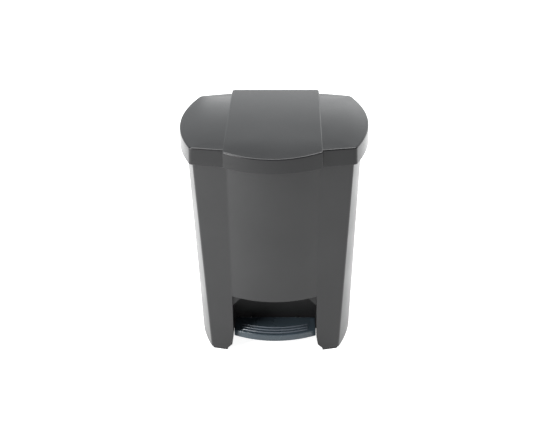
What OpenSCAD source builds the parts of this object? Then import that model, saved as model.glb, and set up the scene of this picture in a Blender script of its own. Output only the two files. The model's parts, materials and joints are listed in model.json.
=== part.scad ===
// Step-on waste bin: a tapered moulded body on legs, a rear-hinged lid with a raised centre band,
// an inner bucket, and a pedal whose lever and lift rod push the lid open.
// Millimetres. The front faces -Y and the origin is on the floor, under the middle of the outer box.

/* [Body] */
// Half width of the body at its corners, at the rim
body_corner_w = 162; // [158:1:163]
// Half width of the body at its corners, at the floor
body_foot_w = 139; // [134:1:144]
// Half depth of the body at its corners, at the rim
body_corner_d = 134; // [131:1:135]
// Half depth of the body at its corners, at the floor
body_foot_d = 121; // [113:1:122]
// How far the middle of each side wall swells past the corners
body_side_bow = 22; // [16:1:23]
// How far the middle of the rear wall swells
body_end_bow = 18; // [16:1:18]
// Height of the body's rim above the floor
rim_z = 464; // [462:1:465]
// Wall thickness of the mouldings
wall = 2.5; // [2:0.1:3]

/* [Front strip] */
// Half width of the bowed centre strip at the rim
strip_w = 93; // [92:1:96]
// How far the middle of the strip bows ahead of its edges
strip_bulge = 25; // [20:1:27]
// How far the flat front panels lean forward from the corners to the strip
panel_lean = 12; // [10:1:13]
// Half width of the pedal cut-out
cut_w = 90; // [88:1:92]
// Height of the pedal cut-out
cut_z = 143; // [136:1:144]

/* [Lid] */
// Half width of the lid at its corners
lid_corner_w = 167; // [167:1:170]
// Half depth of the lid at its corners
lid_corner_d = 141; // [141:1:143]
// How far the middle of each lid side swells past the corners
lid_side_bow = 31; // [28:1:34]
// Height of the lid's flat top
lid_z = 491.5; // [490:0.5:493]
// Height of the lid's skirt edge
skirt_z = 455; // [454:1:456]
// Thickness of the raised band on the lid
band_t = 6.5; // [5:0.5:8]
// Angle that the lid opens through
lid_open = 70; // [60:1:70]

/* [Pedal] */
// Half width of the pedal tread
pedal_w = 89; // [80:0.5:89]
// Height of the tread's top at rest
pedal_z = 48; // [44:1:48]
// Height of the tread's skirt
pedal_skirt = 15; // [12:1:16]

/* [Hidden] */

// Distance of the middle of the plan behind the origin
plan_y = 9;
// Thickness of the rubber feet, which the body stands on
foot_t = 4;
// Gap round pieces that sit inside the body's wall
seat_gap = 0.3;
// Running clearance on a radius
run = 0.05;
// Half width and bow of the strip at the floor
strip_foot_w = 88;
strip_foot_bulge = 22;
// Legs' inner edges: they spread by leg_flare below leg_flare_z, and end in a chamfer
leg_flare = 3.5;
leg_flare_z = 40;
leg_chamfer = 11.5;
leg_chamfer_z = 17;
// Lid hinge axis, behind the rear wall and below the skirt's edge
hinge_y = plan_y + 167;
hinge_z = 452;
hinge_r = 2.5;
knuckle_r = 6;
// Pedal axle, behind the pedal well
axle_y = plan_y - 36;
axle_z = 47;
axle_r = 3;
hub_r = 8;
// The lift rod leans back with the rear wall: its foot pin at rest, and its lean per millimetre
rod_r = 3;
foot_pin_y = plan_y + 123;
foot_pin_z = 28;
rod_lean = 0.04;
lean_deg = atan(rod_lean);
// The crank's slot is radial from the hinge axis and starts at half the opening angle below level;
// its pin is where that line meets the rod's axis
crank_deg = lid_open / 2;
crank_z = (hinge_z - (hinge_y - foot_pin_y + rod_lean * foot_pin_z) * tan(crank_deg))
    / (1 - rod_lean * tan(crank_deg));
crank_y = foot_pin_y + rod_lean * (crank_z - foot_pin_z);
crank_reach = (hinge_y - crank_y) / cos(crank_deg);
crank_slot = 3.8;
crank_slot_r = 3.9;
rod_length = (crank_z - foot_pin_z) / cos(lean_deg);
pin_r = 2.5;
tail_reach = foot_pin_y - axle_y;
tail_deg = atan((axle_z - foot_pin_z) / tail_reach);
// Upper guide of the lift rod, on the rear wall
guide_z = 386;
guide_h = 14;
// Pedal well: its rear wall and the deck that roofs it and carries the bucket
well_y = plan_y - 64;
deck_z = cut_z + 3;
deck_t = 3;
// Tread: straight rear edge, sides' front ends and how far its front bows; underside of the lever's arms
tread_rear_y = plan_y - 70;
tread_front_y = plan_y - 121;
tread_bow = 22;
arm_z = 34;
arm_h = 9;
// Corner gussets of the pedal opening
gusset_w = 24;
gusset_h = 25;
gusset_y = plan_y - body_foot_d - 9.5;
// Bucket
bucket_z = deck_z + deck_t + 0.5;
bucket_rim_z = 460;
// Raised band: half width at the front and rear, ends of its front lip, the lip's bow, its lower
// edge, and how far the band's top stands above the lid at its front and rear
band_w = 99;
band_rear_w = 96;
band_side_y = plan_y - 163;
band_bow = 28;
band_rear_y = plan_y + 161;
band_front_t = 2;
lip_z = 458;
// Rear wall's outer face, just under the skirt
rear_y = plan_y + body_corner_d + body_end_bow;
tiny = 0.01;

function mix(a, b, t) = a + (b - a) * t;
function bowed(s, t) = s * (1 - t * t);

// How far the front edge stands ahead of the corners at x: a flat leaning panel, then the bowed strip
function front_rise(x, cw, w, lean, bulge) = abs(x) > w
    ? lean * (cw - abs(x)) / (cw - w) : lean + bowed(bulge, x / w);

// One plan outline, counter-clockwise: front edge with its strip, right side, rear edge, left side
function outline(cw, cd, side, rear, w, lean, bulge, n = 10) = concat(
    [for (x = concat([-cw], [for (i = [0 : 16]) w * (i / 8 - 1)], [cw]))
        [x, -cd - front_rise(x, cw, w, lean, bulge)]],
    [for (i = [1 : n]) let (t = 2 * i / n - 1) [cw + bowed(side, t), cd * t]],
    [for (i = [1 : n]) let (t = 2 * i / n - 1) [-cw * t, cd + bowed(rear, t)]],
    [for (i = [1 : n - 1]) let (t = 2 * i / n - 1) [-cw - bowed(side, t), -cd * t]]);

// The body's outline at height z, moved inwards by inset
function body_outline(z, inset = 0) = let (t = z / rim_z)
    outline(mix(body_foot_w, body_corner_w, t) - inset, mix(body_foot_d, body_corner_d, t) - inset,
        mix(body_side_bow + 5, body_side_bow, t), body_end_bow,
        mix(strip_foot_w, strip_w, t), panel_lean, mix(strip_foot_bulge, strip_bulge, t));

function lid_outline(inset = 0) =
    outline(lid_corner_w - inset, lid_corner_d - inset, lid_side_bow, body_end_bow, band_w, panel_lean, 0);

function at_z(points, z) = [for (p = points) [p[0], p[1] + plan_y, z]];

// The right leg's inner edge from top to bottom, moved outwards by inset
function leg_edge(inset = 0) = [[cut_w + inset, leg_flare_z],
    [cut_w + leg_flare + inset, leg_chamfer_z + inset / 2],
    [cut_w + leg_flare + leg_chamfer + inset / 2, foot_t + inset]];

// A solid through a stack of rings that all have the same number of points
module loft(rings) {
    n = len(rings[0]);
    last = len(rings) - 1;
    polyhedron(
        points = [for (ring = rings) for (p = ring) p],
        faces = concat(
            [[for (i = [0 : n - 1]) i]],
            [[for (i = [n - 1 : -1 : 0]) last * n + i]],
            [for (k = [0 : last - 1]) for (i = [0 : n - 1]) let (j = (i + 1) % n)
                [k * n + i, (k + 1) * n + i, (k + 1) * n + j]],
            [for (k = [0 : last - 1]) for (i = [0 : n - 1]) let (j = (i + 1) % n)
                [k * n + i, (k + 1) * n + j, k * n + j]]));
}

module body_solid(z0, z1, inset = 0) {
    loft([for (i = [0 : 3]) let (z = mix(z0, z1, i / 3)) at_z(body_outline(z, inset), z)]);
}

// A flat plate that fits inside the body wall
module floor_plate(z, t, inset) {
    translate([0, plan_y, z]) linear_extrude(t) polygon(body_outline(z, inset));
}

// A cylinder along X, centred on x
module x_rod(x, y, z, r, length) {
    translate([x, y, z]) rotate([0, 90, 0]) cylinder(r = r, h = length, center = true, $fn = 48);
}

// A slot along Y, cut right through in X
module x_slot(y, z, r, travel, length) {
    rotate([0, 90, 0]) linear_extrude(length, center = true) union() {
        translate([-z, y - travel]) circle(r = r, $fn = 32);
        translate([-z, y + travel]) circle(r = r, $fn = 32);
        translate([-z - r, y - travel]) square([2 * r, 2 * travel]);
    }
}

// Moves children from a frame whose Z is the lift rod's axis, with its zero on the foot pin
module on_rod() {
    translate([0, foot_pin_y, foot_pin_z]) rotate([-lean_deg, 0, 0]) children();
}

// A round-headed screw pointing along -Z, its head's underside on the origin
module screw(r, length) {
    translate([0, 0, -length]) cylinder(r = r, h = length, $fn = 24);
    cylinder(r = 2 * r, h = 1.2 * r, $fn = 24);
}

module body_shell() {
    color("#4e4e50") difference() {
        body_solid(foot_t, rim_z);
        body_solid(foot_t - 1, rim_z + 1, wall);
        // Pedal cut-out, with the legs' lower inner corners chamfered
        translate([0, -60, 0]) rotate([90, 0, 0]) linear_extrude(120) for (side = [0, 1]) mirror([side, 0])
            polygon(concat([[-1, foot_t - 1], [-1, cut_z], [cut_w, cut_z]], leg_edge(),
                [[cut_w + leg_flare + leg_chamfer, foot_t - 1]]));
        // Notch that the lid's crank swings through
        translate([-8, rear_y - 18, hinge_z - 29]) cube([16, 30, 60]);
        bracket_holes(2.1);
        guide_holes(2.1);
    }
}

// Where the hinge bracket's screws go through the rear wall
module bracket_holes(r) {
    bracket_screw_places() translate([0, 0, -20]) cylinder(r = r, h = 30, $fn = 24);
}

// On the bracket's rear face, pointing rearwards
module bracket_screw_places() {
    for (x = [-34, 34], z = [418, 442]) translate([x, rear_y + 3, z]) rotate([-90, 0, 0]) children();
}

// The holes of the upper guide's screws
module guide_holes(r) {
    guide_screw_places() translate([0, 0, -20]) cylinder(r = r, h = 30, $fn = 24);
}

// Just behind the rear wall, pointing rearwards
module guide_screw_places() {
    for (x = [-14, 14]) translate([x, rear_y - 1, guide_z + guide_h / 2]) rotate([-90, 0, 0]) children();
}

module base_frame() {
    color("#2a2b2d") difference() {
        union() {
            // Deck that roofs the pedal well and carries the bucket
            floor_plate(deck_z, deck_t, wall + seat_gap);
            // Leg liners: well side, chamfer and sole, trimmed to the inside of the body
            intersection() {
                body_solid(foot_t, deck_z + tiny, wall + seat_gap);
                union() {
                    for (side = [0, 1]) mirror([side, 0, 0]) {
                        translate([0, well_y + wall, 0]) rotate([90, 0, 0]) linear_extrude(90)
                            polygon(concat([[cut_w, deck_z]], leg_edge(), [[180, foot_t], [180, foot_t + wall]],
                                backwards(leg_edge(wall)), [[cut_w + wall, deck_z]]));
                        // Gusset in the opening's top corner, just behind the strip
                        translate([0, gusset_y, 0]) rotate([90, 0, 0]) linear_extrude(wall) polygon([
                            [cut_w + 1, cut_z - gusset_h], [cut_w, cut_z - gusset_h],
                            [cut_w - gusset_w, cut_z], [cut_w - gusset_w, deck_z + 1],
                            [cut_w + 1, deck_z + 1]]);
                        translate([84, plan_y + 76, foot_t]) cube([90, 60, wall]);
                        translate([108, plan_y + 44, foot_t]) cube([3, 90, deck_z - foot_t]);
                    }
                }
            }
            // Rear wall of the well
            translate([-cut_w - wall, well_y, foot_t + 10])
                cube([2 * (cut_w + wall), wall, deck_z - foot_t - 10]);
            // Lugs that hold the pedal axle
            for (x = [-76, 68]) translate([x, well_y + wall, axle_z - 16]) cube([8, 42, 32]);
        }
        for (x = [-50, 50]) translate([x - 4.8, well_y - 1, arm_z - 12])
            cube([9.6, wall + 2, arm_h + 12.8]);
        for (x = [-72, 72]) x_rod(x, axle_y, axle_z, 5, 12);
        on_rod() translate([0, 0, deck_z - foot_pin_z - 20]) cylinder(r = 6, h = 40, $fn = 48);
    }
}

// A chamfered rubber pad under a rear corner
module foot_pad(x, y) {
    translate([x, y, 0]) rotate([0, 90, 0]) linear_extrude(30, center = true) polygon([
        [0, -16], [-foot_t, -18], [-foot_t, 18], [0, 16]]);
}

module front_feet() {
    front = plan_y - body_foot_d + 1.2;
    color("#1c1d1f") for (side = [0, 1]) mirror([side, 0, 0]) linear_extrude(foot_t) polygon([
        [104, front + 42], [104, front - panel_lean * 0.68], [134, front - panel_lean * 0.1],
        [137, front + 2], [137, front + 42]]);
}

module rear_feet() {
    color("#1c1d1f") for (x = [-112, 112]) foot_pad(x, plan_y + 96);
}

// The bucket's outline, t from 0 at its bottom to 1 at its rim
function bucket_outline(t, inset) = 
    outline(mix(137, 149, t) - inset, mix(109, 113, t) - inset, 20, 8, 60, 6, 2);

module bucket() {
    rise = bucket_rim_z - bucket_z;
    color("#3a3b3d") difference() {
        loft([at_z(bucket_outline(0, 3), bucket_z), at_z(bucket_outline(0.01, 0), bucket_z + 3),
            at_z(bucket_outline(1, 0), bucket_rim_z - 5), at_z(bucket_outline(1, -3), bucket_rim_z - 3),
            at_z(bucket_outline(1, -3), bucket_rim_z)]);
        loft([at_z(bucket_outline(0.01, wall), bucket_z + wall),
            at_z(bucket_outline(1, wall), bucket_rim_z + 1)]);
        // Hand holes in the two sides
        for (x = [-168, 168]) translate([x, plan_y, bucket_z + rise - 34]) {
            cube([40, 70, 22], center = true);
            for (y = [-35, 35]) translate([0, y, 0]) rotate([0, 90, 0])
                cylinder(r = 11, h = 40, center = true, $fn = 32);
        }
    }
}

module lid_shell() {
    rib = 3;
    rib_h = lid_z - wall - rim_z;
    color("#59595b") difference() {
        union() {
            difference() {
                loft([at_z(lid_outline(0), skirt_z), at_z(lid_outline(1), lid_z - 3),
                    at_z(lid_outline(4), lid_z)]);
                loft([at_z(lid_outline(wall), skirt_z - 1), at_z(lid_outline(wall + 1), lid_z - wall - 3),
                    at_z(lid_outline(wall + 4), lid_z - wall)]);
                // The raised band's lip stands in for the skirt here
                translate([-band_w, plan_y - 200, skirt_z - 1])
                    cube([2 * band_w, 60, lid_z - wall - skirt_z + 1]);
            }
            // Ribs that rest just above the body's rim
            for (side = [0, 1]) mirror([side, 0, 0]) {
                translate([128, plan_y - 147, rim_z + 0.4]) cube([rib, 17, rib_h]);
                translate([118, plan_y + 132, rim_z + 0.4]) cube([rib, 15, rib_h]);
                translate([176, plan_y, rim_z + 0.4]) cube([18, rib, rib_h]);
            }
            // Knuckles on the rear of the skirt
            for (x = [-60, 60]) {
                x_rod(x, hinge_y, hinge_z, knuckle_r, 10);
                translate([x - 5, 0, 0]) rotate([90, 0, 90]) linear_extrude(10) polygon([
                    [hinge_y + knuckle_r, hinge_z], [hinge_y + 2, hinge_z + 20], [hinge_y - 11, hinge_z + 24],
                    [hinge_y - 11, skirt_z + 1], [hinge_y - knuckle_r, hinge_z + 2], [hinge_y - knuckle_r, hinge_z]]);
            }
        }
        for (x = [-60, 60]) x_rod(x, hinge_y, hinge_z, hinge_r + run, 14);
        band_screw_places() cylinder(r = 2.1, h = 20, center = true, $fn = 24);
        crank_screw_places() cylinder(r = 2, h = 20, center = true, $fn = 24);
    }
}

module band_screw_places() {
    for (x = [-70, 70], y = [-104, 4, 110]) translate([x, plan_y + y, lid_z - wall]) children();
}

module crank_screw_places() {
    for (x = [-15, 15]) translate([x, hinge_y - 24, lid_z - wall - 3]) children();
}

// The band's front edge, moved back by inset
function lip_arc(inset = 0, n = 24) = [for (i = [0 : n]) let (t = 2 * i / n - 1)
    [(band_w - inset) * t, band_side_y - bowed(band_bow, t) + inset]];

function backwards(list) = [for (i = [len(list) - 1 : -1 : 0]) list[i]];

module lid_band() {
    color("#5c5c5e") difference() {
        union() {
            // Top plate, whose surface rises towards the rear
            intersection() {
                translate([0, 0, lid_z]) linear_extrude(band_t + 1) polygon(concat(lip_arc(), [
                    [band_rear_w, band_rear_y - 8], [band_rear_w - 5, band_rear_y],
                    [5 - band_rear_w, band_rear_y], [-band_rear_w, band_rear_y - 8]]));
                rotate([90, 0, 90]) linear_extrude(300, center = true) polygon([
                    [band_side_y - band_bow - 1, lid_z - 1], [band_rear_y + 1, lid_z - 1],
                    [band_rear_y + 1, lid_z + band_t], [band_side_y - band_bow - 1, lid_z + band_front_t]]);
            }
            // Front lip and its two short returns to the skirt
            translate([0, 0, lip_z]) linear_extrude(lid_z - lip_z + tiny)
                polygon(concat(lip_arc(), backwards(lip_arc(wall))));
            for (x = [-band_w, band_w - wall]) translate([x, band_side_y, lip_z])
                cube([wall, 13, lid_z - lip_z]);
        }
        band_screw_places() cylinder(r = 1.9, h = wall + band_front_t, $fn = 24);
    }
}

module band_screws() {
    color("#9a9a98") band_screw_places() rotate([180, 0, 0]) screw(1.9, wall + band_front_t - 0.3);
}

module lid_crank() {
    tip = crank_reach + 0.3;
    color("#3f4042") difference() {
        union() {
            // The arm and the web that carries it, as one plate in the YZ plane
            rotate([90, 0, 90]) linear_extrude(10, center = true) union() {
                translate([hinge_y, hinge_z]) circle(r = 7, $fn = 48);
                translate([hinge_y, hinge_z]) rotate(crank_deg) {
                    translate([-tip, -6]) square([tip, 12]);
                    translate([-tip, 0]) circle(r = 6.4, $fn = 48);
                }
                translate([hinge_y - 31, crank_z + 3]) square([14, lid_z - wall - crank_z - 4]);
            }
            translate([-22, hinge_y - 34, lid_z - wall - 3]) cube([44, 18, 3]);
        }
        x_rod(0, hinge_y, hinge_z, hinge_r + run, 14);
        translate([0, hinge_y, hinge_z]) rotate([crank_deg, 0, 0])
            x_slot(crank_slot - tip, 0, crank_slot_r, crank_slot, 14);
        crank_screw_places() cylinder(r = 2.1, h = 20, center = true, $fn = 24);
    }
}

module crank_screws() {
    color("#9a9a98") crank_screw_places() rotate([180, 0, 0]) screw(2, 5);
}

module hinge_bracket() {
    color("#4e4e50") difference() {
        union() {
            difference() {
                translate([-76, rear_y - 18, 412]) cube([152, 21, 38]);
                body_solid(foot_t, rim_z);
                translate([-9, rear_y - 28, hinge_z - 29]) cube([18, 40, 40]);
            }
            for (x = [-74, -54, 46, 66]) {
                x_rod(x + 4, hinge_y, hinge_z, knuckle_r, 8);
                translate([x, 0, 0]) rotate([90, 0, 90]) linear_extrude(8) polygon([
                    [rear_y + 2, 420], [hinge_y + knuckle_r, hinge_z],
                    [hinge_y - knuckle_r, hinge_z], [rear_y + 2, 450]]);
            }
        }
        for (x = [-60, 60]) x_rod(x, hinge_y, hinge_z, hinge_r, 40);
        bracket_holes(2.1);
    }
}

module bracket_screws() {
    color("#9a9a98") bracket_screw_places() screw(2, 12);
}

module hinge_rod() {
    color("#b8b8b6") x_rod(0, hinge_y, hinge_z, hinge_r, 156);
}

module hinge_rod_caps() {
    color("#9a9a98") for (x = [-76.5, 76.5]) difference() {
        x_rod(x, hinge_y, hinge_z, 5, 2);
        x_rod(x, hinge_y, hinge_z, hinge_r, 6);
    }
}

module lift_rod() {
    color("#b8b8b6") on_rod() difference() {
        union() {
            cylinder(r = rod_r, h = rod_length - 12, $fn = 48);
            rotate([0, 90, 0]) cylinder(r = 5.5, h = 12, center = true, $fn = 48);
        }
        rotate([0, 90, 0]) cylinder(r = pin_r, h = 20, center = true, $fn = 48);
    }
}

module rod_clevis() {
    color("#3f4042") on_rod() difference() {
        union() {
            translate([0, 0, rod_length - 22]) cylinder(r = 5.5, h = 8, $fn = 48);
            translate([-9, -6, rod_length - 16]) cube([18, 12, 4]);
            for (x = [-9, 5.6]) translate([x, 0, 0]) {
                translate([0, -5.8, rod_length - 14]) cube([3.4, 11.6, 14]);
                translate([1.7, 0, rod_length]) rotate([0, 90, 0])
                    cylinder(r = 6, h = 3.4, center = true, $fn = 48);
            }
        }
        translate([0, 0, rod_length - 30]) cylinder(r = rod_r, h = 20, $fn = 48);
        translate([0, 0, rod_length]) rotate([0, 90, 0])
            cylinder(r = pin_r, h = 30, center = true, $fn = 48);
    }
}

module clevis_pin() {
    color("#b8b8b6") on_rod() translate([0, 0, rod_length]) rotate([0, 90, 0]) {
        cylinder(r = pin_r, h = 19, center = true, $fn = 48);
        for (x = [-10.5, 9]) translate([0, 0, x]) cylinder(r = 4, h = 1.5, $fn = 32);
    }
}

module rod_foot_pin() {
    color("#b8b8b6") on_rod() rotate([0, 90, 0]) {
        cylinder(r = pin_r, h = 24, center = true, $fn = 48);
        for (x = [-13.5, 12]) translate([0, 0, x]) cylinder(r = 4, h = 1.5, $fn = 32);
    }
}

module upper_guide() {
    color("#3f4042") difference() {
        intersection() {
            translate([-20, foot_pin_y + rod_lean * (guide_z - foot_pin_z) - 6, guide_z]) cube([40, 40, guide_h]);
            body_solid(foot_t, rim_z, wall);
        }
        on_rod() translate([0, 0, guide_z - foot_pin_z - 20]) cylinder(r = rod_r + run, h = 60, $fn = 48);
        guide_holes(2);
    }
}

module guide_screws() {
    color("#9a9a98") guide_screw_places() screw(2, 10);
}

module lower_guide() {
    color("#3f4042") on_rod() translate([0, 0, deck_z - foot_pin_z]) difference() {
        union() {
            translate([0, 0, -3]) cylinder(r = 6, h = 8, $fn = 48);
            translate([0, 0, -4.5]) cylinder(r = 7.2, h = 4, $fn = 48);
        }
        translate([0, 0, -20]) cylinder(r = rod_r + run, h = 40, $fn = 48);
    }
}

// The tread's outline: straight rear and sides, bowed front, moved inwards by inset
function tread_outline(inset = 0, n = 16) = concat(
    [for (i = [0 : n]) let (t = 2 * i / n - 1)
        [(pedal_w - inset) * t, tread_front_y - bowed(tread_bow, t) + inset]],
    [[pedal_w - inset, tread_rear_y], [inset - pedal_w, tread_rear_y]]);

// A band that follows the tread's front bow, depth behind its front edge
function ridge(depth, half, width, n = 16) = let (
        front = [for (i = [0 : n]) let (t = 2 * i / n - 1)
            [half * t, tread_front_y - bowed(tread_bow, half * t / pedal_w) + depth]])
    concat(front, [for (i = [n : -1 : 0]) front[i] + [0, width]]);

module pedal_tread() {
    plate_t = 3;
    color("#3c434b") difference() {
        union() {
            translate([0, 0, pedal_z - plate_t]) linear_extrude(plate_t) polygon(tread_outline());
            translate([0, 0, pedal_z - pedal_skirt]) linear_extrude(pedal_skirt - plate_t + tiny)
                difference() {
                    polygon(tread_outline());
                    polygon([for (p = tread_outline(wall)) p[1] > tread_rear_y - 1 ? p + [0, 5] : p]);
                }
            for (i = [0 : 2]) translate([0, 0, pedal_z - tiny]) linear_extrude(1.5)
                polygon(ridge(9 + 10 * i, 74, 2.5));
        }
        pedal_screw_places() cylinder(r = 2, h = pedal_z - 0.8 - arm_z, $fn = 24);
    }
}

// Under the lever's arms, pointing up
module pedal_screw_places() {
    for (x = [-50, 50], y = [-104, -82]) translate([x, plan_y + y, arm_z]) children();
}

module pedal_lever() {
    color("#2f3032") difference() {
        union() {
            x_rod(0, axle_y, axle_z, hub_r, 120);
            for (x = [-54, 46]) translate([x, plan_y - 112, arm_z]) {
                cube([8, axle_y - plan_y + 112, arm_h]);
                cube([8, tread_rear_y - 6 - plan_y + 112, pedal_z - 3 - arm_z]);
            }
            translate([0, axle_y, axle_z]) rotate([-tail_deg, 0, 0]) {
                translate([-6, 0, -6]) cube([12, 134, 12]);
                for (x = [-10.5, 6]) translate([x, 122, -6]) cube([4.5, tail_reach + 2.5 - 122, 12]);
                for (x = [-8.25, 8.25]) x_rod(x, tail_reach + 1.7, 0, 6.3, 4.5);
            }
        }
        x_rod(0, axle_y, axle_z, 5, 140);
        translate([0, axle_y, axle_z]) rotate([-tail_deg, 0, 0]) x_slot(tail_reach + 1.7, 0, 3.1, 1.4, 40);
        pedal_screw_places() translate([0, 0, -1]) cylinder(r = 2.1, h = 14, $fn = 24);
    }
}

module pedal_screws() {
    color("#9a9a98") pedal_screw_places() rotate([180, 0, 0]) screw(2, pedal_z - 1 - arm_z);
}

module pedal_axle() {
    color("#b8b8b6") x_rod(0, axle_y, axle_z, axle_r, 164);
}

module axle_bushes() {
    color("#d8d8d2") for (side = [0, 1]) mirror([side, 0, 0]) difference() {
        union() {
            x_rod(72, axle_y, axle_z, 5, 8);
            x_rod(76.75, axle_y, axle_z, 7, 1.5);
        }
        x_rod(72, axle_y, axle_z, axle_r, 20);
    }
}

module axle_clips() {
    color("#9a9a98") for (x = [-79, 79]) difference() {
        x_rod(x, axle_y, axle_z, 6, 1.5);
        x_rod(x, axle_y, axle_z, axle_r, 4);
    }
}

module lever_bushes() {
    color("#d8d8d2") for (side = [0, 1]) mirror([side, 0, 0]) difference() {
        union() {
            x_rod(53, axle_y, axle_z, 5, 14);
            x_rod(61, axle_y, axle_z, 7, 2);
        }
        x_rod(55, axle_y, axle_z, axle_r + run, 30);
    }
}

body_shell();
base_frame();
front_feet();
rear_feet();
bucket();
lid_shell();
lid_band();
band_screws();
lid_crank();
crank_screws();
hinge_bracket();
bracket_screws();
hinge_rod();
hinge_rod_caps();
lift_rod();
rod_clevis();
clevis_pin();
rod_foot_pin();
upper_guide();
lower_guide();
guide_screws();
pedal_tread();
pedal_lever();
pedal_screws();
pedal_axle();
axle_bushes();
axle_clips();
lever_bushes();
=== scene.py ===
"""The looks of a step-on waste bin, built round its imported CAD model. Metres, +Z up, the front faces -Y."""

import json
import math

import bmesh
import bpy
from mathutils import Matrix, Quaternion, Vector


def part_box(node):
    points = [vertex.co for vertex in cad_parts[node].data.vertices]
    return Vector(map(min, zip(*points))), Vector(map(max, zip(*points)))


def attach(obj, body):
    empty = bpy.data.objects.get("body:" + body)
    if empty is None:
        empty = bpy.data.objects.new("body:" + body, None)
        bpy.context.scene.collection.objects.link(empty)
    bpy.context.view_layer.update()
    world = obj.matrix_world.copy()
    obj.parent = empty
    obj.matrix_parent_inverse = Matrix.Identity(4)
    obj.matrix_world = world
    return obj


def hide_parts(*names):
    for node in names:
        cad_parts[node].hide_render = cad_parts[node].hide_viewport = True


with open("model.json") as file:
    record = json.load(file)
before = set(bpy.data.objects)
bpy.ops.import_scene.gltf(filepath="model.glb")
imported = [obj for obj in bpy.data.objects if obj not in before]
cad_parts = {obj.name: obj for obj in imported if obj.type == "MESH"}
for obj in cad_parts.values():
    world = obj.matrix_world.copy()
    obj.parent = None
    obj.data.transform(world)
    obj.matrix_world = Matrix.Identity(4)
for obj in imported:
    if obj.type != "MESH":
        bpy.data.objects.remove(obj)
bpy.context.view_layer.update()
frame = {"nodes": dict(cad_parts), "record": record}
MM = 0.001

# Driving sizes, in millimetres, as in the CAD model. The middle of the plan lies PLAN_Y behind the origin.
PLAN_Y = 9.0
FOOT_Z = 4.0
RIM_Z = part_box("body_shell")[1].z / MM
SKIRT_Z = 455.0
LID_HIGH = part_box("lid_shell")[1]
LID_Z = LID_HIGH.z / MM
LID_SIDE_W = LID_HIGH.x / MM
WALL = 2.5
CUT_W, CUT_Z = 90.0, 143.0
LEG_EDGE = ((FOOT_Z, 105.0), (17.0, 93.5), (40.0, 90.0))
BODY_CORNER, BODY_FOOT = (162.0, 134.0), (139.0, 121.0)
LID_CORNER = (167.0, 141.0)
PANEL_LEAN = 12.0
REAR_BOW = 18.0
SIDE_BOW, SIDE_FOOT_BOW, LID_SIDE_BOW = 22.0, 27.0, 31.0
STRIP_BULGE, STRIP_FOOT_BULGE = 25.0, 22.0
STRIP_RIM_W = 93.0
BAND_W, BAND_REAR_W = 99.0, 96.0
BAND_LOW, BAND_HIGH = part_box("lid_band")
LIP_Z = BAND_LOW.z / MM
LIP_FRONT_Y = BAND_LOW.y / MM
LIP_BOW = 28.0
BAND_FRONT_T, BAND_REAR_T = 2.0, 6.5


def mix(a, b, t):
    return a + (b - a) * t


def spread(a, b, n):
    """n + 1 even steps from a to b."""
    return [mix(a, b, i / n) for i in range(n + 1)]


# Meshes

def ring(edges, trims, counts, corner_steps=4):
    """A closed outline. Each edge is a function of t from 0 to 1. The corner before each edge is rounded by
    a curve that starts its trim before the corner and ends its trim after it."""
    points = []
    for k, edge in enumerate(edges):
        length = (Vector(edge(1)) - Vector(edge(0))).length
        start = trims[k] / length
        end = 1 - trims[(k + 1) % len(edges)] / length
        before = edges[k - 1]
        before_length = (Vector(before(1)) - Vector(before(0))).length
        a, p, b = Vector(before(1 - trims[k] / before_length)), Vector(edge(0)), Vector(edge(start))
        for i in range(1, corner_steps):
            s = i / corner_steps
            points.append(a * (1 - s) ** 2 + p * 2 * s * (1 - s) + b * s * s)
        steps = counts[k] if isinstance(counts[k], list) else spread(0, 1, counts[k])
        points += [Vector(edge(mix(start, end, s))) for s in steps]
    return points


def plan_edges(cw, cd, side, rear, w, lean, bulge):
    """The six edges of the body's and the lid's plan, counter-clockwise from the front left corner."""
    front_y = -cd - lean
    return [
        lambda t: (mix(-cw, -w, t), mix(-cd, front_y, t)),
        lambda t: (mix(-w, w, t), front_y - bulge * 4 * t * (1 - t)),
        lambda t: (mix(w, cw, t), mix(front_y, -cd, t)),
        lambda t: (cw + side * 4 * t * (1 - t), mix(-cd, cd, t)),
        lambda t: (mix(cw, -cw, t), cd + rear * 4 * t * (1 - t)),
        lambda t: (-cw - side * 4 * t * (1 - t), mix(cd, -cd, t)),
    ]


def skin(name, rings, skip=lambda k, i: False, cap=None, closed=True, floor=None, inner=None,
        inner_cap=None):
    """A grid mesh through rings of (x, y, z) in millimetres. Faces for which skip is true are left out.
    cap is one more point that closes the last ring, and floor one that closes the first. inner gives the
    same rings on the far side of a wall, which is joined to the outer side along every open edge."""
    n, last = len(rings[0]), len(rings) - 1
    faces = []
    for k in range(last):
        for i in range(n if closed else n - 1):
            if not skip(k, i):
                j = (i + 1) % n
                faces.append((k * n + i, k * n + j, k * n + n + j, k * n + n + i))
    points = [p for points in rings for p in points]
    for tip, row, turn in ((cap, last, 0), (floor, 0, 1)):
        if tip is not None:
            faces += [(row * n + (i + turn) % n, row * n + (i + 1 - turn) % n, len(points)) for i in range(n)]
            points.append(tip)
    mesh = bmesh.new()
    outside = [mesh.verts.new(Vector(p) * MM) for p in points]
    for face in faces:
        mesh.faces.new([outside[v] for v in face])
    if inner is not None:
        points = [p for points in inner for p in points] + ([inner_cap] if cap is not None else [])
        inside = [mesh.verts.new(Vector(p) * MM) for p in points]
        sides = {(face[k - 1], face[k]) for face in faces for k in range(len(face))}
        for face in faces:
            mesh.faces.new([inside[v] for v in reversed(face)])
        for u, v in sorted(sides):
            if (v, u) not in sides:
                mesh.faces.new((outside[v], outside[u], inside[u], inside[v]))
    loose = [v for v in mesh.verts if not v.link_faces]
    bmesh.ops.delete(mesh, geom=loose, context="VERTS")
    return as_object(name, mesh)


def as_object(name, mesh):
    data = bpy.data.meshes.new(name)
    mesh.normal_update()
    mesh.to_mesh(data)
    mesh.free()
    piece = bpy.data.objects.new(name, data)
    bpy.context.scene.collection.objects.link(piece)
    return piece


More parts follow.
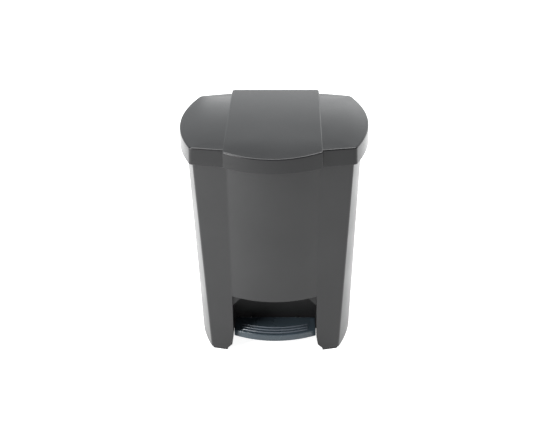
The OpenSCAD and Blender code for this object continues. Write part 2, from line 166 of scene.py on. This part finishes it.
def soften(piece, width, angle=35, segments=3):
    """Rounds the sharp edges and shades the rest smooth."""
    bevel = piece.modifiers.new("soft_edges", "BEVEL")
    bevel.width = width * MM
    bevel.segments = segments
    bevel.limit_method = "ANGLE"
    bevel.angle_limit = math.radians(angle)
    bevel.use_clamp_overlap = True
    bevel.harden_normals = False
    for face in piece.data.polygons:
        face.use_smooth = True
    weighted = piece.modifiers.new("even_shading", "WEIGHTED_NORMAL")
    weighted.keep_sharp = False


def with_z(points, z):
    """Moves a plan outline to the plan's middle and to height z, a number or a function of x and y."""
    return [(p[0], p[1] + PLAN_Y, z(p[0], p[1] + PLAN_Y) if callable(z) else z) for p in points]


# Body shell: the six-sided tapered wall with its pedal cut-out and the notch for the lid's crank

SIDE_STEPS = 24
NOTCH_T = 0.025
NOTCH_Z, NOTCH_HALF = 423.0, 12.0
LEG_TOP_Z = LEG_EDGE[2][0]
MIDDLE_GAP = 60.0


def strip_half_width(z):
    """Half the width of the front strip or, under it, of the gap between the legs."""
    if z > CUT_Z:
        return mix(CUT_W, STRIP_RIM_W, (z - CUT_Z) / (RIM_Z - CUT_Z))
    for (low, low_w), (high, high_w) in zip(LEG_EDGE, LEG_EDGE[1:]):
        if z < high:
            return mix(low_w, high_w, (z - low) / (high - low))
    return CUT_W


def body_ring(z, inset=0.0):
    t = z / RIM_Z
    cw = mix(BODY_FOOT[0], BODY_CORNER[0], t) - inset
    cd = mix(BODY_FOOT[1], BODY_CORNER[1], t) - inset
    w = strip_half_width(z)
    lean = PANEL_LEAN * min(1, (cw - w) / (cw - CUT_W))
    rear = spread(0, 0.5 - NOTCH_T, 10) + spread(0.5 + NOTCH_T, 1, 10)
    counts = [4, 28, 4, SIDE_STEPS, rear, SIDE_STEPS]
    trims = [3.5, 3, 3, 3.5, 5, 5]
    side = mix(SIDE_FOOT_BOW, SIDE_BOW, t)
    edges = plan_edges(cw, cd, side, REAR_BOW, w, lean, mix(STRIP_FOOT_BULGE, STRIP_BULGE, t))
    return with_z(ring(edges, trims, counts), z)


def make_body():
    heights = [FOOT_Z, 10.5, 17, 28.5] + spread(LEG_TOP_Z, CUT_Z, 5)
    heights += spread(CUT_Z, NOTCH_Z, 14)[1:] + spread(NOTCH_Z, RIM_Z, 3)[1:]
    rings = [body_ring(z) for z in heights]
    leg_w = LEG_EDGE[0][1] + 0.5
    front = [i for i, p in enumerate(rings[0]) if p[1] < PLAN_Y - MIDDLE_GAP and abs(p[0]) < leg_w]
    rear = [i for i, p in enumerate(rings[-1]) if p[1] > PLAN_Y + MIDDLE_GAP and abs(p[0]) < NOTCH_HALF]

    def skip(k, i):
        in_cut = front[0] <= i < front[-1] and heights[k] < CUT_Z - 1
        in_notch = rear[0] <= i < rear[-1] and heights[k] > NOTCH_Z - 1
        return in_cut or in_notch

    body = skin("body_moulding", rings, skip, inner=[body_ring(z, WALL) for z in heights])
    soften(body, 0.9)
    return body


# Lid: skirt, rounded edge and slightly crowned top. The crown ends CROWN_REACH before and behind the middle.

LID_REAR_BOW = 23.0
KNUCKLE_X, KNUCKLE_R, KNUCKLE_W = 60.0, 6.0, 10.0
LID_CROWN, CROWN_REACH = 5.5, 150.0
LID_EDGE_R = 3.0


def lid_ring(z, inset=0, scale=1.0):
    cw, cd = LID_CORNER[0] - inset, LID_CORNER[1] - inset
    edges = plan_edges(cw, cd, LID_SIDE_BOW, LID_REAR_BOW, BAND_W, PANEL_LEAN, 0)
    points = ring(edges, [5, 2, 2, 5, 5, 5], [6, 16, 6, 30, 24, 30])
    return with_z([p * scale for p in points], z)


def crown(x, y):
    """How far the lid's top stands above its edge: an arch from front to rear that ends at the two sides."""
    across, along = x / LID_SIDE_W, (y - PLAN_Y) / CROWN_REACH
    return LID_CROWN * max(0, 1 - across ** 6) * max(0, 1 - along ** 2)


def make_lid():
    edge_z = LID_Z - LID_EDGE_R
    rings, inner = [], []
    for t in spread(0, 1, 5):
        rings.append(lid_ring(mix(SKIRT_Z, edge_z, t), t))
        inner.append(lid_ring(mix(SKIRT_Z, edge_z - WALL, t), t + WALL))
    for angle in (22, 45, 68, 90):
        a = math.radians(angle)
        z, inset = edge_z + LID_EDGE_R * math.sin(a), 1 + LID_EDGE_R * (1 - math.cos(a))
        rings.append(lid_ring(z, inset))
        inner.append(lid_ring(z - WALL, inset + WALL))
    skirt_rows = len(rings) - 3
    for scale in spread(1, 0.06, 18)[1:]:
        for points, drop, inset in ((rings, 0, 0), (inner, WALL, WALL)):
            flat = lid_ring(LID_Z - drop, 1 + LID_EDGE_R + inset, scale)
            points.append([(x, y, z + crown(x, y) * (1 - scale ** 16)) for x, y, z in flat])
    front = [i for i, p in enumerate(rings[0]) if p[1] < PLAN_Y - MIDDLE_GAP and abs(p[0]) < BAND_W + 0.9]
    top = LID_Z + LID_CROWN
    lid = skin("lid_moulding", rings, lambda k, i: k < skirt_rows and front[0] <= i < front[-1],
        cap=(0, PLAN_Y, top), inner=inner, inner_cap=(0, PLAN_Y, top - WALL))
    soften(lid, 0.8)
    return lid


def prism(name, profile, left, right):
    """A solid plate between two values of x, whose outline is given as (y, z) points."""
    rings = [[(x, y, z) for y, z in profile] for x in (left, right)]
    middle_y = sum(y for y, z in profile) / len(profile)
    middle_z = sum(z for y, z in profile) / len(profile)
    plate = skin(name, rings, cap=(right, middle_y, middle_z), floor=(left, middle_y, middle_z))
    soften(plate, 0.5)
    return plate


def make_knuckle(name, x):
    """The lid's eye on the hinge rod, and the arm that carries it under the rear of the skirt."""
    low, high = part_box("hinge_rod")
    y, z, r = (low.y + high.y) / 2 / MM, (low.z + high.z) / 2 / MM, KNUCKLE_R
    eye = [(y + r * math.cos(a), z + r * math.sin(a)) for a in spread(-math.pi, 0, 16)]
    arm = [(y + 2, z + 20), (y - 10, z + 24), (y - 10, SKIRT_Z + 1), (y - r, z + 2)]
    return prism(name, eye + arm, x - KNUCKLE_W / 2, x + KNUCKLE_W / 2)


# Raised band over the lid, with its curved front lip. RETURN_Y is how far back the lip's two ends reach.

BAND_R = 2.2
BAND_CENTRE_Y = -8.0
RETURN_Y = PLAN_Y - 150
BAND_ARCH = 2.5
ROLL_Y, ROLL_DROP = -100.0, 5.0


def band_top(x, y):
    """The band rises to the rear, arches a little and rolls off over its front lip."""
    t = (y - LIP_FRONT_Y) / (BAND_HIGH.y / MM - LIP_FRONT_Y)
    roll = max(0, (ROLL_Y - y) / (ROLL_Y - LIP_FRONT_Y))
    thickness = mix(BAND_FRONT_T, BAND_REAR_T, t) + BAND_ARCH * math.sin(math.pi * t)
    return LID_Z + thickness - ROLL_DROP * roll ** 2


def make_band():
    side_y = LIP_FRONT_Y + LIP_BOW - PLAN_Y
    rear_y = BAND_HIGH.y / MM - PLAN_Y

    def band_ring(z, inset=0.0, scale=1.0):
        w, rw, fy, ry = BAND_W - inset, BAND_REAR_W - inset, side_y + inset, rear_y - inset
        edges = [
            lambda t: (mix(-w, w, t), fy - LIP_BOW * 4 * t * (1 - t)),
            lambda t: (mix(w, rw, t), mix(fy, ry, t)),
            lambda t: (mix(rw, -rw, t), ry),
            lambda t: (mix(-rw, -w, t), mix(ry, fy, t)),
        ]
        length, back = ry - fy, RETURN_Y - PLAN_Y - side_y
        knee = [0, back / length, (back + 1) / length]
        up = knee + spread(knee[-1], 1, 20)[1:]
        down = [1 - t for t in reversed(up)]
        points = ring(edges, [1.5, 1.5, 7, 7], [32, up, 16, down])
        centre = Vector((0, BAND_CENTRE_Y))
        return with_z([centre + (p - centre) * scale for p in points], z)

    def low(x, y):
        """The lip hangs down in front of the lid; behind it the band sinks just into the lid's top."""
        return LIP_Z if y < RETURN_Y + 0.5 else LID_Z - 1.5 + 0.9 * crown(x, y)

    rings, inner = [], []
    for t in (0, 0.33, 0.67, 1):
        rings.append(band_ring(lambda x, y: mix(low(x, y), band_top(x, y) - BAND_R, t)))
        inner.append(band_ring(lambda x, y: mix(low(x, y), band_top(x, y) - BAND_R - WALL, t), WALL))
    for angle in (30, 60, 90):
        a = math.radians(angle)
        drop, inset = BAND_R * (1 - math.sin(a)), BAND_R * (1 - math.cos(a))
        rings.append(band_ring(lambda x, y: band_top(x, y) - drop, inset))
        inner.append(band_ring(lambda x, y: band_top(x, y) - drop - WALL, inset + WALL))
    for scale in spread(1, 0.05, 16)[1:]:
        rings.append(band_ring(band_top, BAND_R, scale))
        inner.append(band_ring(lambda x, y: band_top(x, y) - WALL, BAND_R + WALL, scale))
    tip_y = PLAN_Y + BAND_CENTRE_Y
    tip = Vector((0, tip_y, band_top(0, tip_y)))
    band = skin("lid_band_moulding", rings, cap=tip, inner=inner, inner_cap=tip - Vector((0, 0, WALL)))
    soften(band, 0.7)
    return band


# Pedal tread: a shallow tray with a bowed front skirt and three ridges

TREAD_LOW, TREAD_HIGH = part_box("pedal_tread")
TREAD_W = TREAD_HIGH.x / MM
TREAD_REAR_Y = TREAD_HIGH.y / MM
TREAD_BOW = 22.0
TREAD_FRONT_Y = TREAD_LOW.y / MM + TREAD_BOW
RIDGE_H = 1.5
TREAD_Z = TREAD_HIGH.z / MM - RIDGE_H
TREAD_SKIRT_Z = TREAD_LOW.z / MM
TREAD_R = 2.2
RIDGE_START, RIDGE_PITCH, RIDGE_HALF, RIDGE_R = 10.2, 10.0, 74.0, 1.7


def tread_ring(z, inset=0.0):
    w, fy, ry = TREAD_W - inset, TREAD_FRONT_Y - PLAN_Y + inset, TREAD_REAR_Y - PLAN_Y - inset
    front = [0, 0.004, 0.012] + spread(0.03, 0.97, 30) + [0.988, 0.996, 1]
    edges = [
        lambda t: (mix(-w, w, t), fy - TREAD_BOW * 4 * t * (1 - t)),
        lambda t: (w, mix(fy, ry, t)),
        lambda t: (mix(w, -w, t), ry),
        lambda t: (-w, mix(ry, fy, t)),
    ]
    return with_z(ring(edges, [1, 1, 3, 3], [front, 10, 24, 10]), z)


def make_tread():
    wall, dish, rim = 2.5, 0.7, 3.0
    centre_y = (TREAD_REAR_Y + TREAD_FRONT_Y - TREAD_BOW * 0.5) / 2
    under_z = TREAD_Z - dish - wall
    rings = [tread_ring(under_z, inset) for inset in (22, 12, wall + 1.5)]
    rings += [tread_ring(under_z - 1.5, wall), tread_ring(mix(under_z, TREAD_SKIRT_Z, 0.5), wall)]
    rings += [tread_ring(TREAD_SKIRT_Z, wall)]
    rings += [tread_ring(z) for z in spread(TREAD_SKIRT_Z, TREAD_Z - TREAD_R, 4)]
    for angle in (30, 60, 90):
        a = math.radians(angle)
        rings.append(tread_ring(TREAD_Z - TREAD_R * (1 - math.sin(a)), TREAD_R * (1 - math.cos(a))))
    rings += [tread_ring(TREAD_Z, TREAD_R + rim), tread_ring(TREAD_Z - dish, TREAD_R + rim + 1.4)]
    rings += [tread_ring(TREAD_Z - dish, inset) for inset in (14, 22)]
    top, bottom = (0, centre_y, TREAD_Z - dish), (0, centre_y, under_z)
    tread = skin("pedal_tread_moulding", rings, cap=top, floor=bottom)
    soften(tread, 0.35, segments=2)
    return tread


def make_ridge(number):
    """A half-round ridge that follows the front bow and sinks into the tread at both ends."""
    depth, foot_z, height = RIDGE_START + RIDGE_PITCH * number, TREAD_Z - 1.6, RIDGE_R + 1.2
    rings = []
    for t in spread(-1, 1, 40):
        x = RIDGE_HALF * t
        y = TREAD_FRONT_Y - TREAD_BOW * (1 - (x / TREAD_W) ** 2) + depth
        taper = min(1, (1 - abs(t)) * 14 + 0.15)
        rings.append([(x, y + RIDGE_R * math.cos(a), foot_z + height * taper * math.sin(a))
            for a in spread(0, math.pi, 8)])
    ridge = skin(f"pedal_ridge_{number + 1}", rings, closed=False)
    soften(ridge, 0.2, angle=60, segments=1)
    return ridge


# Materials

def node_material(name):
    """A new material, with what its nodes are built from."""
    material = bpy.data.materials.new(name)
    material.use_nodes = True
    nodes = material.node_tree.nodes
    shader = next(n for n in nodes if n.type == "BSDF_PRINCIPLED")
    place = nodes.new("ShaderNodeTexCoord").outputs["Object"]
    return material, nodes, material.node_tree.links, shader, place


def grain(nodes, links, place, scale, detail=3.0):
    """A noise value from 0 to 1 over the surface, scale being its size in bumps per metre."""
    noise = nodes.new("ShaderNodeTexNoise")
    noise.inputs["Scale"].default_value = scale
    noise.inputs["Detail"].default_value = detail
    links.new(place, noise.inputs["Vector"])
    return noise.outputs["Fac"]


def ranged(nodes, links, value, low, high, start=0.3, end=0.7):
    """Maps a value between start and end to the range from low to high."""
    step = nodes.new("ShaderNodeMapRange")
    step.inputs["From Min"].default_value = start
    step.inputs["From Max"].default_value = end
    step.inputs["To Min"].default_value = low
    step.inputs["To Max"].default_value = high
    links.new(value, step.inputs["Value"])
    return step.outputs["Result"]


def blended(nodes, links, value, first, second):
    """A colour between two, by a value from 0 to 1."""
    ramp = nodes.new("ShaderNodeValToRGB")
    ramp.color_ramp.elements[0].color = (*first, 1)
    ramp.color_ramp.elements[1].color = (*second, 1)
    links.new(value, ramp.inputs["Fac"])
    return ramp.outputs["Color"]


def finish_surface(nodes, links, shader, place, rough, rough_spread, bump_scale, bump_depth):
    """Uneven gloss from handling, and a fine grain raised from the surface."""
    wear = grain(nodes, links, place, 14, 4)
    uneven = ranged(nodes, links, wear, rough - rough_spread, rough + rough_spread)
    links.new(uneven, shader.inputs["Roughness"])
    bump = nodes.new("ShaderNodeBump")
    bump.inputs["Strength"].default_value = 0.5
    bump.inputs["Distance"].default_value = bump_depth
    links.new(grain(nodes, links, place, bump_scale, 2), bump.inputs["Height"])
    links.new(bump.outputs["Normal"], shader.inputs["Normal"])


def plastic(name, colour, rough=0.36, bump_scale=1500, bump_depth=0.00004, fade=0.12, specular=0.5):
    """Moulded plastic: one tone with faint clouding, a fine moulded grain and slightly uneven gloss."""
    material, nodes, links, shader, place = node_material(name)
    pale = tuple(c * (1 + fade) for c in colour)
    dark = tuple(c * (1 - fade) for c in colour)
    cloud = ranged(nodes, links, grain(nodes, links, place, 9, 3), 0, 1)
    links.new(blended(nodes, links, cloud, dark, pale), shader.inputs["Base Color"])
    shader.inputs["Specular IOR Level"].default_value = specular
    shader.inputs["IOR"].default_value = 1.5
    finish_surface(nodes, links, shader, place, rough, 0.03, bump_scale, bump_depth)
    return material


def metal(name, colour, rough):
    """Plated steel: dull and clear patches, and fine marks."""
    material, nodes, links, shader, place = node_material(name)
    shader.inputs["Metallic"].default_value = 1.0
    dull = tuple(c * 0.75 for c in colour)
    patch = ranged(nodes, links, grain(nodes, links, place, 40, 5), 0, 1)
    links.new(blended(nodes, links, patch, dull, colour), shader.inputs["Base Color"])
    finish_surface(nodes, links, shader, place, rough, 0.08, 600, 0.00002)
    return material


FINE, COARSE = 0.00002, 0.00008
CHARCOAL = (0.0125, 0.0125, 0.0130)
GLOSS_BLACK = (0.007, 0.007, 0.0075)
INNER_BLACK = (0.008, 0.008, 0.0085)
RUBBER_BLACK = (0.014, 0.014, 0.015)
SLATE = (0.031, 0.043, 0.053)
# A lighter slate for the ridges: a painted highlight along their crests.
PAINTED_HIGHLIGHT_SLATE = (0.085, 0.098, 0.116)
MATERIALS = {
    "body_plastic": plastic("body_plastic", CHARCOAL, rough=0.32, specular=0.38),
    "lid_plastic": plastic("lid_plastic", GLOSS_BLACK, rough=0.24, bump_depth=FINE, specular=0.34),
    "pedal_plastic": plastic("pedal_plastic", SLATE, rough=0.27, bump_depth=FINE, specular=0.45),
    "ridge_painted_highlight": plastic("ridge_painted_highlight", PAINTED_HIGHLIGHT_SLATE, rough=0.22, bump_depth=FINE, specular=0.7),
    "inner_plastic": plastic("inner_plastic", INNER_BLACK, rough=0.5, bump_depth=COARSE, specular=0.3),
    "bucket_plastic": plastic("bucket_plastic", (0.045, 0.046, 0.050), rough=0.45, bump_depth=0.00006),
    "steel": metal("steel", (0.30, 0.30, 0.31), 0.34),
    "screw_steel": metal("screw_steel", (0.20, 0.20, 0.21), 0.38),
    "lever_steel": plastic("lever_steel", (0.012, 0.012, 0.013), rough=0.4, bump_scale=700, bump_depth=COARSE),
    "bush_plastic": plastic("bush_plastic", (0.02, 0.02, 0.021), rough=0.42, fade=0.05),
    "rubber": plastic("rubber", RUBBER_BLACK, rough=0.72, bump_scale=900, bump_depth=0.0001, specular=0.35),
}


def dress(piece, slot):
    piece.data.materials.clear()
    piece.data.materials.append(MATERIALS[slot])


def add(piece, body, slot, *nodes):
    """Puts a finished piece on its body, in place of the CAD nodes it stands for."""
    dress(piece, slot)
    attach(piece, body)
    if nodes:
        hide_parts(*nodes)
    return piece


# The pieces, and the CAD nodes that keep their shape

add(make_body(), "frame", "body_plastic", "body_shell")
add(make_lid(), "lid", "lid_plastic", "lid_shell")
add(make_band(), "lid", "lid_plastic", "lid_band")
add(make_knuckle("lid_knuckle_left", -KNUCKLE_X), "lid", "lid_plastic")
add(make_knuckle("lid_knuckle_right", KNUCKLE_X), "lid", "lid_plastic")
add(make_tread(), "pedal", "pedal_plastic", "pedal_tread")
for number in range(3):
    ridge = add(make_ridge(number), "pedal", "pedal_plastic")
    # The ridges take the lighter slate, a painted highlight on their crests.
    ridge.data.materials[0] = MATERIALS["ridge_painted_highlight"]

for row in frame["record"]["subparts"]:
    node = frame["nodes"][row["node"]]
    if not node.hide_render:
        node.data.materials.clear()
        node.data.materials.append(MATERIALS[row["material_slot"]])


# Floor, light and camera

def make_floor():
    """White paper that glows, so that hardly a real shadow shows on it; the glow fades out under the bin,
    which paints a soft shadow there.
    """
    mesh = bmesh.new()
    bmesh.ops.create_grid(mesh, x_segments=2, y_segments=2, size=6)
    floor = as_object("floor", mesh)
    material, nodes, links, shader, place = node_material("floor_paper")
    tone = ranged(nodes, links, grain(nodes, links, place, 3), 0, 1)
    colour = blended(nodes, links, tone, (0.54, 0.54, 0.54), (0.56, 0.56, 0.56))
    links.new(colour, shader.inputs["Base Color"])
    shader.inputs["Roughness"].default_value = 0.9
    shader.inputs["Specular IOR Level"].default_value = 0.2
    shader.inputs["Emission Color"].default_value = (1, 1, 1, 1)
    away = nodes.new("ShaderNodeVectorMath")
    away.operation = "DISTANCE"
    links.new(place, away.inputs[0])
    away.inputs[1].default_value = (0, 0.05, 0)
    # The glow falls to nothing close to the bin: a painted contact shadow on the floor.
    glow_with_painted_shadow = ranged(nodes, links, away.outputs["Value"], 0, 0.92, 0.05, 0.13)
    links.new(glow_with_painted_shadow, shader.inputs["Emission Strength"])
    floor.data.materials.append(material)


def make_sky(level, slope):
    """A pale surround whose brightness is level, plus slope along each direction."""
    world = bpy.data.worlds.new("surround")
    bpy.context.scene.world = world
    world.use_nodes = True
    nodes, links = world.node_tree.nodes, world.node_tree.links
    along = nodes.new("ShaderNodeVectorMath")
    along.operation = "DOT_PRODUCT"
    links.new(nodes.new("ShaderNodeTexCoord").outputs["Generated"], along.inputs[0])
    along.inputs[1].default_value = slope
    strength = ranged(nodes, links, along.outputs["Value"], level - 1, level + 1, -1, 1)
    links.new(strength, nodes["Background"].inputs["Strength"])
    nodes["Background"].inputs["Color"].default_value = (0.955, 0.985, 1, 1)


def softbox(name, place, target, width, height, power):
    """A rectangular lamp at place that faces target."""
    light = bpy.data.lights.new(name, "AREA")
    light.shape = "RECTANGLE"
    light.size, light.size_y = width, height
    light.energy = power
    lamp = bpy.data.objects.new(name, light)
    bpy.context.scene.collection.objects.link(lamp)
    lamp.location = place
    lamp.rotation_euler = (Vector(target) - Vector(place)).to_track_quat("-Z", "Y").to_euler()


def make_camera(target, distance, azimuth, elevation, roll, lens):
    """A camera that looks at target from a distance, with angles in degrees and its lens in millimetres."""
    data = bpy.data.cameras.new("camera")
    data.lens = lens
    data.sensor_width = 36
    camera = bpy.data.objects.new("camera", data)
    bpy.context.scene.collection.objects.link(camera)
    a, e = math.radians(azimuth), math.radians(elevation)
    away = Vector((math.sin(a) * math.cos(e), -math.cos(a) * math.cos(e), math.sin(e)))
    camera.location = Vector(target) + away * distance
    turn = Quaternion((0, 0, 1), math.radians(roll))
    camera.rotation_euler = ((-away).to_track_quat("-Z", "Y") @ turn).to_euler()
    bpy.context.scene.camera = camera


bpy.context.scene.view_settings.view_transform = "Standard"
make_floor()
make_sky(0.72, (-0.05, 0.38, -0.1))
middle = (0, PLAN_Y * MM, 0.25)
softbox("left_softbox", (-2.0, -1.3, 1.1), middle, 1.2, 1.2, 90)
softbox("front_top_softbox", (-1.15, -0.9, 2.0), middle, 0.7, 0.35, 14)
softbox("rear_softbox", (0.1, 1.0, 3.4), (0.1, 1.2, 0), 3.0, 1.6, 170)
softbox("horizon_softbox", (0.65, 1.3, 0.8), (0.1, 0, 0.49), 2.2, 0.42, 3.6)
make_camera((-0.0005, PLAN_Y * MM, 0.255), 2.385, 1.4, 28.0, -0.6, 71.15)
